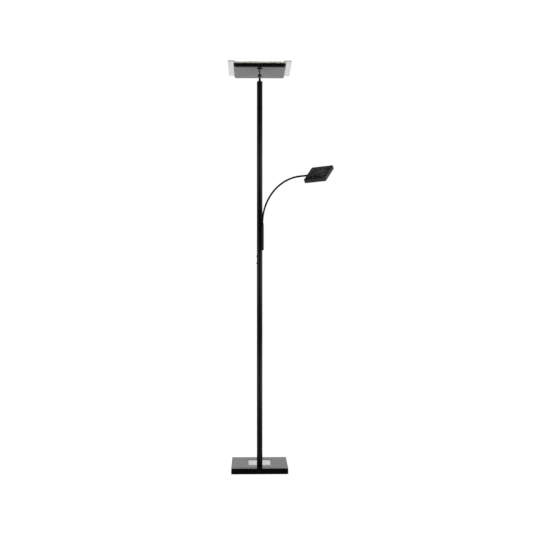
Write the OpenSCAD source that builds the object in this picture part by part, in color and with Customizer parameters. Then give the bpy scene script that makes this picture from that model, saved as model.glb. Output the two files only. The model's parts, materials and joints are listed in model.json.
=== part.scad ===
// Floor uplighter: a weighted square base, a screwed-together pole, a tilting
// square head under a glass plate, and a square reading light on a flexible neck.
// Millimetres, +Z up. The origin is on the floor under the middle of the base;
// -Y faces the person standing in front of the lamp and +X is their right.

/* [Base] */
// Side of the square base
base_w = 250; // [220:1:300]
// Height of the base's top above the floor
base_h = 26; // [23:0.5:30]
// Thickness of the base cover's sheet
cover_t = 2; // [1.6:0.1:2.5]
// Thickness of the foam pad that the lamp stands on
pad_t = 1.5; // [1:0.1:2.5]
// Thickness of the floor plate that closes the base
floor_plate_t = 1.5; // [1:0.1:2]
// Side of the square metal inlay in the base's top
inlay_w = 98; // [60:1:120]
// Thickness of the inlay
inlay_t = 1; // [0.6:0.1:1.2]
// Side of the cast ballast slab inside the base
slab_w = 190; // [170:1:210]
// How far the pole's axis is from the base's front edge
pole_inset = 42; // [30:1:60]

/* [Pole] */
// Outer diameter of the pole
pole_d = 25; // [21:0.5:30]
// Wall of the pole's tubes
pole_wall = 1.2; // [1:0.1:1.6]
// Height of the pole, from the base's top to the cap's top
pole_h = 1707; // [1450:1:1900]
// Outer diameter of the threaded foot nipple and of the knuckle's stem
thread_d = 10; // [9:0.5:12]
// Diameter of the wiring
lead_d = 5; // [3:0.5:6]

/* [Dimmer buttons] */
// Height of the middle of the dimmer above the pole's lower joint
dimmer_up = 347; // [80:1:450]
// Distance between the two buttons
button_pitch = 30; // [20:1:40]
// Diameter of a button
button_d = 8; // [6:0.5:9]
// How far a button stands out of the pole
button_out = 1.5; // [1:0.1:3]
// How far a button travels
button_travel = 0.6; // [0.3:0.1:0.8]

/* [Knuckle] */
// Height of the tilt axis above the pole's top
tilt_rise = 25; // [22:0.5:35]
// Distance from the tilt axis to the head's underside
head_rise = 32; // [26:0.5:40]
// Diameter of the knuckle
knuckle_d = 18; // [16:0.5:24]
// Diameter of the pivot screw
pivot_d = 5; // [4:0.5:6]
// Diameter of the knuckle's flange
flange_d = 26; // [25:1:45]

/* [Head] */
// Side of the glass plate
glass_w = 281; // [240:1:340]
// Thickness of the glass plate
glass_t = 4; // [4:0.5:8]
// Side of the lamp housing under the glass
head_w = 232; // [222:1:240]
// Height of the lamp housing
head_h = 17.5; // [17.5:0.5:30]
// Wall of the lamp housing
head_wall = 2; // [1.5:0.1:2.5]
// Distance from the pole's axis to the middle of the head
head_back = 80; // [0:1:85]

/* [Reading arm] */
// Height of the bottom of the arm's sleeve above the middle of the dimmer
sleeve_up = 42; // [40:1:90]
// Length of the sleeve
sleeve_len = 120; // [100:1:125]
// Outer diameter of the sleeve
sleeve_d = 12; // [11:0.5:16]
// Gap between the pole and the sleeve, bridged by the saddles
sleeve_gap = 0.5; // [0.5:0.1:4]
// Direction of the sleeve from the pole, in degrees from +X
sleeve_az = -50; // [-90:1:0]
// Outer diameter of the flexible neck
neck_d = 8; // [6:0.5:8]
// Radius of the neck's curve
neck_r = 196; // [150:1:260]
// How far the neck leans over, in degrees from upright
neck_lean = 87.7; // [60:0.1:110]
// Direction that the neck leans to, in degrees from +X
neck_az = -32; // [-60:1:0]
// Length of the straight tip between the curve and the reading light
tip_len = 42; // [25:1:60]

/* [Reading light] */
// Side of the square reading light
reader_w = 101; // [80:1:130]
// Thickness of the reading light
reader_t = 17; // [14:0.5:24]
// Wall of the reading light's shell
reader_wall = 1.8; // [1.5:0.1:2.5]
// How far the reading light is turned about the neck's end, in degrees
reader_roll = 37.7; // [0:0.1:90]

/* [Fits] */
// Radial clearance of a pin that turns in its hole
run_fit = 0.05; // [0.02:0.01:0.1]
// Clearance between parts that only slip together
slip_fit = 0.2; // [0.1:0.05:0.4]

/* [Hidden] */
$fn = 64;

// Finishes
lacquer = "#1b1b1d";
steel = "#b9babd";
nickel = "#8f9093";
plastic = "#2a2a2c";
foam = "#3a3a3c";
board_white = "#e9e8e2";
led_yellow = "#e6d27a";
copper_black = "#101012";

// Base stack, from the floor up
slab_z = pad_t + floor_plate_t;
slab_top = base_h - cover_t;
plate_gap = 1;
plate_w = base_w - 2 * (cover_t + plate_gap);
pole_y = pole_inset - base_w / 2;
screw_at = slab_w / 2 - 12;
screw_hole_d = 4;
screw_head_d = 8;
screw_len = 10;
pad_side = base_w - 10;
well_d = 34;
hatch_d = well_d - 6;
lead_bore_d = lead_d + 2.6;
lead_slot_w = lead_d + 3;
lead_bend = 6;
grommet_d = lead_d + 5;
grommet_flange_d = grommet_d + 3;
grommet_flange_t = 1.5;
lead_z = slab_z + grommet_flange_d / 2 + 0.5;
nipple_z = lead_z + 3.4;
nut_t = 3;
nut_flats = 1.7 * thread_d;
washer_t = 1.5;
washer_d = 2.6 * thread_d;
well_top = nipple_z + nut_t + washer_t;

// Pole stack
bore_d = pole_d - 2 * pole_wall;
plug_d = bore_d - 0.1;
cap_t = 3;
cap_plug = 12;
pole_top = base_h + pole_h;
joint_z = [for (i = [1, 2]) round(base_h + i * (pole_h - cap_t) / 3)];
insert_h = 30;
spigot_d = bore_d - 4.6;
spigot_plug = 25;
spigot_h = 15;
socket_h = 18;
nipple_top = base_h + insert_h - 4;

// Dimmer, set out inwards from the pole's left side
dimmer_z = joint_z[0] + dimmer_up;
dimmer_h = 62;
dimmer_deep = 7.8;
dimmer_face = dimmer_deep - bore_d / 2;
board_end = 6;
pcb_t = 1.6;
pcb_w = 12;
switch_w = 6;
switch_t = 3;
switch_hole = 2.7;
stem_d = 3.4;
stem_gap = 0.3;
button_flange = 2;
flange_thick = 0.8;
switch_x = dimmer_face - pcb_t - switch_t;
flange_x = switch_x - stem_gap - button_travel - flange_thick;
button_z = [dimmer_z + button_pitch / 2, dimmer_z - button_pitch / 2];
screw_d = 3;

// Knuckle
tilt_z = pole_top + tilt_rise;
head_z = tilt_z + head_rise;
flat_x = knuckle_d / 2 - 2.5;
slot_x = 3.6;
eye_x = 3;
washer_gap = 0.1;
eye_r = knuckle_d / 2 - 1.4;
slot_r = eye_r + 0.6;
stem_w = 2 * eye_x;
screw_cap_t = 2.2;
screw_cap_d = 9;
pivot_nut_t = 2.4;
pivot_nut_flats = 8;
flange_t = 3;
cone_low_z = tilt_z + knuckle_d / 2 + 1.5;
cone_top_d = 14;
flange_screw_d = 3;
flange_screw_r = (cone_top_d + flange_d) / 4;

// Head stack, from the housing's underside up
head_y = pole_y + head_back;
head_round = 10;
head_lip = 2;
head_lip_h = 5;
head_foot = 3.5;
head_in = head_wall + head_lip;
floor_in_z = head_z + head_wall;
backplate_d = 50;
backplate_t = 2;
driver_size = [110, 40, 7.5];
driver_back = 45;
post_d = 8;
post_h = 9.5;
post_at = 80;
heat_w = 205;
heat_t = 1.5;
board_w = 190;
chip_w = 5;
chip_t = 1.2;
chip_rows = 7;
chip_pitch = 24;
plate_screw_d = 3;
pad_h = 0.5;
pad_l = 24;
pad_w = 1.8;
heat_z = floor_in_z + post_h;
board_z = heat_z + heat_t;
chip_z = board_z + pcb_t;
glass_z = head_z + head_h + pad_h;
glass_round = 3;
glass_edge = 0.8;

// Arm
sleeve_z = dimmer_z + sleeve_up;
sleeve_off = pole_d / 2 + sleeve_gap + sleeve_d / 2;
sleeve_x = sleeve_off * cos(sleeve_az);
sleeve_y = pole_y + sleeve_off * sin(sleeve_az);
sleeve_top = sleeve_z + sleeve_len;
sleeve_taper = 12;
sleeve_tip_d = neck_d + 2;
ferrule_d = neck_d + 0.6;
ferrule_deep = 50;
saddle_h = 14;
saddle_w = 7;
saddle_fn = 4 * $fn;
saddle_end = 12;
saddle_at = [saddle_end, sleeve_len - saddle_end - sleeve_taper - saddle_h];
neck_bore = 3.6;
link_count = 6;
link_gap = 1.2;
link_step = neck_lean / link_count;
gap_angle = link_gap / neck_r * 180 / PI;

// Reading light, in its own frame: x away from the neck, z out of its back
led_face = -reader_t / 2;
back_face = reader_t / 2;
reader_in = 14;
bush_flange_d = 12;
bush_flange_t = 1;
bush_wall = 1.6;
bush_gap = 0.3;
clip_t = 1.5;
reader_heat_t = 1.2;
reader_boss_h = 6.5;
diffuser_t = 2;
diffuser_lip = 2.2;
reader_plate_w = reader_w - 2 * (reader_in + 2);
reader_board_w = reader_plate_w - 4;
reader_boss_d = 5;
reader_boss_at = reader_plate_w / 2 - 6;
reader_screw_d = 2.2;
reader_chip_rows = 4;
reader_chip_pitch = 15;
reader_chip = 3.5;
reader_chip_t = 0.8;
reader_plate_z = back_face - reader_wall - reader_boss_h - reader_heat_t;
reader_board_z = reader_plate_z - pcb_t;

// A square plate with rounded upright corners
module round_square(w, r, h) {
    linear_extrude(height = h) {
        square([w, w - 2 * r], center = true);
        square([w - 2 * r, w], center = true);
        for (x = [-1, 1], y = [-1, 1])
            translate([x * (w / 2 - r), y * (w / 2 - r)]) circle(r = r);
    }
}

// A hexagon of the given width across its flats
module hex(flats, h) {
    cylinder(d = flats / cos(30), h = h, $fn = 6);
}

// A cylinder along X, centred on the tilt axis's height
module along_x(d, x_from, x_to) {
    translate([x_from, 0, 0]) rotate([0, 90, 0]) cylinder(d = d, h = x_to - x_from);
}

// Its children at the four corners of a square
module at_corners(half) {
    for (x = [-1, 1], y = [-1, 1]) translate([x * half, y * half, 0]) children();
}

// Its children at the pole's axis
module at_pole(z = 0) {
    translate([0, pole_y, z]) children();
}

// Its children at the middle of the head
module at_head(z = 0) {
    translate([0, head_y, z]) children();
}

// Its children at a number of places round a circle
module around(count, r, start = 0) {
    for (i = [0 : count - 1])
        rotate([0, 0, start + i * 360 / count]) translate([r, 0, 0]) children();
}

// Its children in a square grid
module grid(rows, pitch) {
    for (i = [0 : rows - 1], j = [0 : rows - 1])
        translate([(i - (rows - 1) / 2) * pitch, (j - (rows - 1) / 2) * pitch, 0]) children();
}

// Its children in the plane that the neck bends in: x outwards, z up, from the sleeve's top
module neck_plane() {
    translate([sleeve_x, sleeve_y, sleeve_top]) rotate([0, 0, neck_az]) children();
}

// Its children at the end of the neck's curve, with x pointing on along the neck
module neck_end() {
    neck_plane()
        translate([neck_r * (1 - cos(neck_lean)), 0, neck_r * sin(neck_lean)])
            rotate([0, neck_lean - 90, 0]) children();
}

// Its children in the reading light's own frame, from the middle of its near edge
module in_reader() {
    neck_end() translate([tip_len, 0, 0]) rotate([reader_roll, 0, 0]) children();
}

// --- Base ---

module floor_pad() {
    color(foam) difference() {
        translate([-pad_side / 2, -pad_side / 2, 0]) cube([pad_side, pad_side, pad_t]);
        at_pole(-1) cylinder(d = hatch_d, h = pad_t + 2);
        translate([0, 0, -1]) at_corners(screw_at)
            cylinder(d = screw_head_d + 2, h = pad_t + 2);
    }
}

module floor_plate() {
    color(steel) difference() {
        translate([-plate_w / 2, -plate_w / 2, pad_t]) cube([plate_w, plate_w, floor_plate_t]);
        at_pole(0) cylinder(d = hatch_d, h = slab_z + 1);
        at_corners(screw_at) cylinder(d = screw_hole_d + slip_fit, h = slab_z + 1);
    }
}

module ballast_slab() {
    color(copper_black) difference() {
        translate([-slab_w / 2, -slab_w / 2, slab_z]) cube([slab_w, slab_w, slab_top - slab_z]);
        at_pole(slab_z - 1) cylinder(d = well_d, h = well_top - slab_z + 1);
        at_pole(0) cylinder(d = thread_d + slip_fit, h = base_h);
        translate([-lead_slot_w / 2, pole_y, slab_z - 1])
            cube([lead_slot_w, base_w, lead_z + lead_slot_w / 2 - slab_z + 1]);
        translate([0, 0, slab_z - 1]) at_corners(screw_at)
            cylinder(d = screw_hole_d, h = screw_len + 1);
    }
}

module base_cover() {
    skirt_z = pad_t;
    color(lacquer) difference() {
        translate([-base_w / 2, -base_w / 2, skirt_z]) cube([base_w, base_w, base_h - skirt_z]);
        translate([cover_t - base_w / 2, cover_t - base_w / 2, 0])
            cube([base_w - 2 * cover_t, base_w - 2 * cover_t, slab_top]);
        translate([-(inlay_w + slip_fit) / 2, -(inlay_w + slip_fit) / 2, base_h - inlay_t])
            cube([inlay_w + slip_fit, inlay_w + slip_fit, inlay_t + 1]);
        at_pole(0) cylinder(d = thread_d + slip_fit, h = base_h + 1);
        translate([0, base_w / 2 - cover_t - 1, lead_z]) rotate([-90, 0, 0])
            cylinder(d = grommet_d, h = cover_t + 2);
    }
}

module base_inlay() {
    bevel = 0.3;
    color(steel) translate([0, 0, base_h - inlay_t]) difference() {
        translate([-inlay_w / 2, -inlay_w / 2, 0]) cube([inlay_w, inlay_w, inlay_t]);
        for (a = [0 : 90 : 270]) rotate([0, 0, a])
            translate([-inlay_w, inlay_w / 2, inlay_t - bevel]) rotate([45, 0, 0])
                cube([2 * inlay_w, 2 * bevel, 2 * bevel]);
    }
}

module base_screws() {
    head_h = min(1.2, pad_t - 0.2);
    color(nickel) at_corners(screw_at) {
        translate([0, 0, pad_t - head_h]) cylinder(d = screw_head_d - 1, h = head_h);
        translate([0, 0, pad_t]) cylinder(d = screw_hole_d, h = floor_plate_t + screw_len - 1);
    }
}

module cord_grommet() {
    color(plastic) translate([0, base_w / 2, lead_z]) rotate([-90, 0, 0]) difference() {
        union() {
            cylinder(d = grommet_flange_d, h = grommet_flange_t);
            translate([0, 0, -cover_t]) cylinder(d = grommet_d, h = cover_t);
            translate([0, 0, -cover_t - grommet_flange_t])
                cylinder(d = grommet_flange_d, h = grommet_flange_t);
        }
        translate([0, 0, -cover_t - grommet_flange_t - 1])
            cylinder(d = lead_d + slip_fit, h = cover_t + 2 * grommet_flange_t + 2);
    }
}

module base_lead() {
    color(copper_black) {
        translate([0, base_w / 2 - cover_t - grommet_flange_t, lead_z]) rotate([90, 0, 0])
            cylinder(d = lead_d, h = base_w / 2 - cover_t - grommet_flange_t - pole_y - lead_bend);
        translate([0, pole_y + lead_bend, lead_z + lead_bend]) rotate([0, -90, 0]) rotate([0, 0, 180])
            rotate_extrude(angle = 90) translate([lead_bend, 0]) circle(d = lead_d);
        at_pole(lead_z + lead_bend) cylinder(d = lead_d, h = base_h - lead_z);
    }
}

module foot_nipple() {
    color(nickel) at_pole(nipple_z) difference() {
        cylinder(d = thread_d, h = nipple_top - nipple_z);
        translate([0, 0, -1]) cylinder(d = lead_bore_d, h = nipple_top - nipple_z + 2);
    }
}

module foot_nut() {
    color(nickel) at_pole(nipple_z) difference() {
        hex(nut_flats, nut_t);
        translate([0, 0, -1]) cylinder(d = thread_d, h = nut_t + 2);
    }
}

module foot_washer() {
    color(steel) at_pole(nipple_z + nut_t) difference() {
        cylinder(d = washer_d, h = washer_t);
        translate([0, 0, -1]) cylinder(d = thread_d + slip_fit, h = washer_t + 2);
    }
}

// --- Pole ---

module foot_insert() {
    color(nickel) at_pole(base_h) difference() {
        cylinder(d = plug_d, h = insert_h);
        translate([0, 0, -1]) cylinder(d = thread_d, h = insert_h + 2);
    }
}

// One length of pole tube, standing on the given height
module pole_tube(from, to) {
    at_pole(from) difference() {
        cylinder(d = pole_d, h = to - from);
        translate([0, 0, -1]) cylinder(d = bore_d, h = to - from + 2);
    }
}

module lower_tube() {
    color(lacquer) pole_tube(base_h, joint_z[0]);
}

module middle_tube() {
    color(lacquer) difference() {
        pole_tube(joint_z[0], joint_z[1]);
        for (z = button_z) at_pole(z) rotate([0, -90, 0])
            cylinder(d = button_d + 2 * slip_fit, h = pole_d);
        at_pole(dimmer_z) rotate([90, 0, 0]) cylinder(d = screw_d + slip_fit, h = pole_d);
    }
}

module upper_tube() {
    color(lacquer) pole_tube(joint_z[1], pole_top - cap_t);
}

module joint_spigots() {
    color(nickel) for (z = joint_z) at_pole(z) difference() {
        union() {
            translate([0, 0, -spigot_plug]) cylinder(d = plug_d, h = spigot_plug);
            cylinder(d = spigot_d, h = spigot_h);
        }
        translate([0, 0, -spigot_plug - 1])
            cylinder(d = lead_bore_d, h = spigot_plug + spigot_h + 2);
    }
}

module joint_sockets() {
    color(nickel) for (z = joint_z) at_pole(z) difference() {
        cylinder(d = plug_d, h = socket_h);
        translate([0, 0, -1]) cylinder(d = spigot_d + 2 * run_fit, h = socket_h + 2);
    }
}

module pole_cap() {
    chamfer = 1;
    color(lacquer) at_pole(pole_top - cap_t) difference() {
        union() {
            cylinder(d = pole_d, h = cap_t - chamfer);
            translate([0, 0, cap_t - chamfer])
                cylinder(d1 = pole_d, d2 = pole_d - 2 * chamfer, h = chamfer);
            translate([0, 0, -cap_plug]) cylinder(d = plug_d, h = cap_plug);
        }
        translate([0, 0, -cap_plug - 1]) cylinder(d = thread_d, h = cap_plug + cap_t + 2);
    }
}

module lower_lead() {
    color(copper_black) at_pole(2 * base_h)
        cylinder(d = lead_d, h = dimmer_z - dimmer_h / 2 - 2 * base_h);
}

module upper_lead() {
    start_z = dimmer_z + dimmer_h / 2;
    color(copper_black) at_pole(start_z) cylinder(d = lead_d, h = pole_top - start_z);
}

// --- Dimmer in the pole ---

module dimmer_carrier() {
    color(plastic) at_pole(dimmer_z - dimmer_h / 2) difference() {
        cylinder(d = plug_d, h = dimmer_h);
        translate([-pole_d + dimmer_face, -pole_d / 2, -1]) cube([pole_d, pole_d, dimmer_h + 2]);
        translate([0, 0, dimmer_h / 2]) rotate([90, 0, 0]) cylinder(d = screw_d, h = pole_d);
    }
}

module dimmer_board() {
    color(board_white) at_pole(dimmer_z)
        translate([dimmer_face - pcb_t, -pcb_w / 2, board_end - dimmer_h / 2])
            cube([pcb_t, pcb_w, dimmer_h - 2 * board_end]);
}

module dimmer_switches() {
    color(plastic) for (z = button_z) at_pole(z) difference() {
        translate([switch_x, -switch_w / 2, -switch_w / 2]) cube([switch_t, switch_w, switch_w]);
        along_x(stem_d + 2 * run_fit, switch_x - 1, switch_x + switch_hole);
    }
}

module dimmer_screw() {
    start = 5;
    long = pole_d / 2 + 0.2 - start;
    color(nickel) at_pole(dimmer_z) rotate([90, 0, 0]) translate([0, 0, start]) difference() {
        cylinder(d = screw_d, h = long);
        translate([0, 0, long - 1.5]) hex(screw_d / 2, 3);
    }
}

// One push button at the given height, with its collar and stem inside the pole
module push_button(z) {
    stem_end = switch_x + switch_hole - button_travel - 0.2;
    round_off = 0.6;
    face_x = -pole_d / 2 - button_out;
    at_pole(z) {
        along_x(button_d, face_x + round_off, flange_x);
        translate([face_x, 0, 0]) rotate([0, 90, 0])
            cylinder(d1 = button_d - 2 * round_off, d2 = button_d, h = round_off);
        along_x(button_d + button_flange, flange_x, flange_x + flange_thick);
        along_x(stem_d, flange_x + flange_thick, stem_end);
    }
}

module upper_button() {
    color(plastic) push_button(button_z[0]);
}

module lower_button() {
    color(plastic) push_button(button_z[1]);
}

// --- Knuckle ---

module knuckle_fork() {
    neck_top_d = 7.5;
    neck_h = tilt_rise - knuckle_d / 2 + 1.5;
    stem_z = pole_top - cap_t - cap_plug + 1;
    color(nickel) difference() {
        union() {
            at_pole(stem_z) cylinder(d = thread_d, h = pole_top - stem_z);
            at_pole(pole_top) cylinder(d = thread_d + 2, h = 3);
            at_pole(pole_top + 3) cylinder(d1 = thread_d + 2, d2 = neck_top_d, h = neck_h - 3);
            intersection() {
                at_pole(tilt_z) sphere(d = knuckle_d);
                at_pole(tilt_z - knuckle_d) translate([-flat_x, -knuckle_d, 0])
                    cube([2 * flat_x, 2 * knuckle_d, 2 * knuckle_d]);
            }
        }
        at_pole(tilt_z) along_x(2 * slot_r, -slot_x, slot_x);
        at_pole(tilt_z - stem_w / 2 - 1) translate([-slot_x, -knuckle_d, 0])
            cube([2 * slot_x, 2 * knuckle_d, knuckle_d]);
        at_pole(tilt_z) along_x(pivot_d, -knuckle_d, knuckle_d);
        at_pole(stem_z - 1) cylinder(d = lead_d + 2 * slip_fit, h = pole_top - stem_z + 1);
    }
}

module knuckle_eye() {
    color(nickel) difference() {
        union() {
            at_pole(tilt_z) along_x(2 * eye_r, -eye_x, eye_x);
            at_pole(tilt_z) cylinder(d = stem_w, h = cone_low_z - tilt_z);
            at_pole(cone_low_z)
                cylinder(d1 = stem_w, d2 = cone_top_d, h = head_z - flange_t - cone_low_z);
            at_pole(head_z - flange_t) cylinder(d = flange_d, h = flange_t);
        }
        at_pole(tilt_z) along_x(pivot_d + 2 * run_fit, -knuckle_d, knuckle_d);
        at_pole(head_z - flange_t - 1) around(3, flange_screw_r, 90)
            cylinder(d = flange_screw_d + slip_fit, h = flange_t + 2);
    }
}

module pivot_screw() {
    color(nickel) at_pole(tilt_z) difference() {
        union() {
            along_x(pivot_d, -flat_x - pivot_nut_t, flat_x);
            along_x(screw_cap_d, flat_x, flat_x + screw_cap_t);
        }
        translate([flat_x + screw_cap_t - 1.5, 0, 0]) rotate([0, 90, 0]) hex(pivot_d * 0.6, 3);
    }
}

module pivot_nut() {
    color(nickel) at_pole(tilt_z) translate([-flat_x, 0, 0]) rotate([0, -90, 0]) difference() {
        hex(pivot_nut_flats, pivot_nut_t);
        translate([0, 0, -1]) cylinder(d = pivot_d, h = pivot_nut_t + 2);
    }
}

module friction_washers() {
    washer = slot_x - eye_x - washer_gap;
    color(copper_black) at_pole(tilt_z) for (x = [-slot_x, slot_x - washer]) difference() {
        along_x(2 * eye_r - 2, x, x + washer);
        along_x(pivot_d, x - 1, x + washer + 1);
    }
}

module flange_screws() {
    head_t = 2;
    color(nickel) at_pole(head_z - flange_t) around(3, flange_screw_r, 90) {
        translate([0, 0, -head_t]) cylinder(d = 1.6 * flange_screw_d, h = head_t);
        cylinder(d = flange_screw_d, h = flange_t + head_wall + backplate_t);
    }
}

// --- Head ---

module head_housing() {
    color(lacquer) difference() {
        union() {
            at_head(head_z) round_square(head_w - 2 * head_foot, head_round - head_foot, head_wall);
            at_head(floor_in_z)
                round_square(head_w - 2 * head_lip, head_round - head_lip, head_h - head_wall);
            at_head(head_z + head_lip_h) round_square(head_w, head_round, head_h - head_lip_h);
        }
        at_head(floor_in_z)
            round_square(head_w - 2 * head_in, head_round - head_in, head_h);
        at_pole(head_z - 1) around(3, flange_screw_r, 90)
            cylinder(d = flange_screw_d + slip_fit, h = head_wall + 2);
    }
}

module mount_backplate() {
    color(steel) at_pole(floor_in_z) difference() {
        cylinder(d = backplate_d, h = backplate_t);
        translate([0, 0, -1]) around(3, flange_screw_r, 90)
            cylinder(d = flange_screw_d, h = backplate_t + 2);
    }
}

module led_driver() {
    color(board_white) at_head(floor_in_z)
        translate([-driver_size[0] / 2, driver_back - driver_size[1] / 2, 0]) cube(driver_size);
}

module spacer_posts() {
    color(steel) at_head(floor_in_z) at_corners(post_at) difference() {
        cylinder(d = post_d, h = post_h);
        translate([0, 0, 2]) cylinder(d = plate_screw_d, h = post_h);
    }
}

module heat_plate() {
    color(steel) at_head(heat_z) difference() {
        translate([-heat_w / 2, -heat_w / 2, 0]) cube([heat_w, heat_w, heat_t]);
        translate([0, 0, -1]) at_corners(post_at)
            cylinder(d = plate_screw_d + slip_fit, h = heat_t + 2);
    }
}

module led_board() {
    color(board_white) at_head(board_z) difference() {
        translate([-board_w / 2, -board_w / 2, 0]) cube([board_w, board_w, pcb_t]);
        translate([0, 0, -1]) at_corners(post_at)
            cylinder(d = plate_screw_d + slip_fit, h = pcb_t + 2);
    }
}

module led_chips() {
    color(led_yellow) at_head(chip_z) grid(chip_rows, chip_pitch)
        translate([-chip_w / 2, -chip_w / 2, 0]) cube([chip_w, chip_w, chip_t]);
}

module board_screws() {
    head_t = 1.2;
    color(nickel) at_head(chip_z) at_corners(post_at) {
        cylinder(d = 2 * plate_screw_d, h = head_t);
        translate([0, 0, -pcb_t - heat_t - 5]) cylinder(d = plate_screw_d, h = pcb_t + heat_t + 5);
    }
}

module glass_pads() {
    pad_off = head_w / 2 - head_wall / 2 - head_lip / 2;
    color(foam) at_head(head_z + head_h) for (a = [0 : 90 : 270]) rotate([0, 0, a])
        for (x = [-1, 1]) translate([x * head_w / 4 - pad_l / 2, pad_off - pad_w / 2, 0])
            cube([pad_l, pad_w, pad_h]);
}

module glass_plate() {
    color("#dfe9e6", 0.6) at_head(glass_z) difference() {
        round_square(glass_w, glass_round, glass_t);
        for (a = [0 : 90 : 270]) rotate([0, 0, a])
            for (z = [0, glass_t]) translate([-glass_w, glass_w / 2, z]) rotate([45, 0, 0])
                translate([0, -glass_edge * 0.7, -glass_edge * 0.7])
                    cube([2 * glass_w, 1.4 * glass_edge, 1.4 * glass_edge]);
    }
}

// --- Reading arm ---

module arm_sleeve() {
    color(lacquer) translate([sleeve_x, sleeve_y, sleeve_z]) difference() {
        union() {
            cylinder(d = sleeve_d, h = sleeve_len - sleeve_taper);
            translate([0, 0, sleeve_len - sleeve_taper])
                cylinder(d1 = sleeve_d, d2 = sleeve_tip_d, h = sleeve_taper);
        }
        translate([0, 0, 4]) cylinder(d = lead_d, h = sleeve_len);
        translate([0, 0, sleeve_len - ferrule_deep])
            cylinder(d = ferrule_d + 2 * run_fit, h = ferrule_deep + 1);
    }
}

module sleeve_saddles() {
    color(lacquer) for (z = saddle_at) difference() {
        at_pole(sleeve_z + z) rotate([0, 0, sleeve_az])
            translate([pole_d / 2 - 1, -saddle_w / 2, 0])
                cube([sleeve_gap + 3, saddle_w, saddle_h]);
        at_pole(sleeve_z) cylinder(d = pole_d + run_fit, h = sleeve_len, $fn = saddle_fn);
        translate([sleeve_x, sleeve_y, sleeve_z])
            cylinder(d = sleeve_d + run_fit, h = sleeve_len, $fn = saddle_fn);
    }
}

module neck_ferrule() {
    color(nickel) translate([sleeve_x, sleeve_y, sleeve_top - ferrule_deep + 0.3]) difference() {
        cylinder(d = ferrule_d, h = ferrule_deep - 0.3 - link_gap / 2);
        translate([0, 0, -1]) cylinder(d = neck_bore, h = ferrule_deep + 2);
    }
}

// One link of the neck, counted from 0 at the sleeve; its ends stop short of the pivots
module neck_link(i) {
    last = i == link_count - 1;
    start = i * link_step + gap_angle / 2;
    sweep = link_step - gap_angle * (last ? 0.5 : 1);
    neck_plane() translate([neck_r, 0, 0]) rotate([90, 0, 0]) rotate([0, 0, 180 - start - sweep])
        rotate_extrude(angle = sweep) translate([neck_r, 0]) difference() {
            circle(d = neck_d);
            circle(d = neck_bore);
        }
}

module neck_link_1() {
    color(copper_black) neck_link(0);
}

module neck_link_2() {
    color(copper_black) neck_link(1);
}

module neck_link_3() {
    color(copper_black) neck_link(2);
}

module neck_link_4() {
    color(copper_black) neck_link(3);
}

module neck_link_5() {
    color(copper_black) neck_link(4);
}

module neck_link_6() {
    color(copper_black) neck_link(5);
}

module neck_tip() {
    color(copper_black) neck_end() difference() {
        along_x(neck_d, 0, tip_len + reader_in);
        along_x(neck_bore, -1, tip_len + reader_in + 1);
    }
}

// --- Reading light ---

module reader_bush() {
    outer = neck_d + 2 * bush_wall;
    color(plastic) in_reader() difference() {
        union() {
            along_x(bush_flange_d, -bush_flange_t, 0);
            along_x(outer, 0, reader_in - clip_t - bush_gap - 1);
        }
        along_x(neck_d + 2 * run_fit, -bush_flange_t - 1, reader_in);
    }
}

module reader_clip() {
    color(nickel) in_reader() difference() {
        along_x(neck_d + 2 * bush_wall, reader_in - clip_t - 1, reader_in - 1);
        along_x(neck_d, 0, reader_in + 1);
    }
}

module reader_shell() {
    open_w = reader_w - 2 * reader_wall;
    ledge = diffuser_lip;
    ledge_t = 1.5;
    cavity_top = back_face - reader_wall;
    color(lacquer) in_reader() difference() {
        union() {
            difference() {
                translate([0, -reader_w / 2, led_face]) cube([reader_w, reader_w, reader_t]);
                translate([reader_wall, -open_w / 2, led_face - 1])
                    cube([open_w, open_w, cavity_top - led_face + 1]);
            }
            translate([reader_wall + 1, 0, 0]) difference() {
                translate([-1.5, -open_w / 2 - 0.5, led_face + diffuser_t])
                    cube([open_w + 1, open_w + 1, ledge_t]);
                translate([ledge - 1, -open_w / 2 + ledge, led_face])
                    cube([open_w - 2 * ledge, open_w - 2 * ledge, reader_t]);
            }
            translate([reader_w / 2, 0, cavity_top - reader_boss_h]) at_corners(reader_boss_at)
                cylinder(d = reader_boss_d, h = reader_boss_h + 0.5);
        }
        along_x(neck_d + 2 * bush_wall, -1, reader_wall + ledge + 1);
        translate([reader_w / 2, 0, cavity_top - reader_boss_h - 1]) at_corners(reader_boss_at)
            cylinder(d = reader_screw_d, h = reader_boss_h);
    }
}

// A square plate inside the reading light, with holes for its screws
module reader_layer(w, z, t) {
    in_reader() translate([reader_w / 2, 0, z]) difference() {
        translate([-w / 2, -w / 2, 0]) cube([w, w, t]);
        translate([0, 0, -1]) at_corners(reader_boss_at)
            cylinder(d = reader_screw_d + slip_fit, h = t + 2);
    }
}

module reader_heat_plate() {
    color(steel) reader_layer(reader_plate_w, reader_plate_z, reader_heat_t);
}

module reader_board() {
    color(board_white) reader_layer(reader_board_w, reader_board_z, pcb_t);
}

module reader_chips() {
    color(led_yellow) in_reader() translate([reader_w / 2, 0, reader_board_z - reader_chip_t])
        grid(reader_chip_rows, reader_chip_pitch)
            translate([-reader_chip / 2, -reader_chip / 2, 0])
                cube([reader_chip, reader_chip, reader_chip_t]);
}

module reader_screws() {
    head_t = 1;
    color(nickel) in_reader() translate([reader_w / 2, 0, reader_board_z])
        at_corners(reader_boss_at) {
            translate([0, 0, -head_t]) cylinder(d = 2 * reader_screw_d, h = head_t);
            cylinder(d = reader_screw_d, h = pcb_t + reader_heat_t + reader_boss_h - 2);
        }
}

module reader_diffuser() {
    w = reader_w - 2 * reader_wall - slip_fit;
    color("#fff3d6") in_reader() translate([(reader_w - w) / 2, -w / 2, led_face + 0.2])
        cube([w, w, diffuser_t - 0.2]);
}

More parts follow.
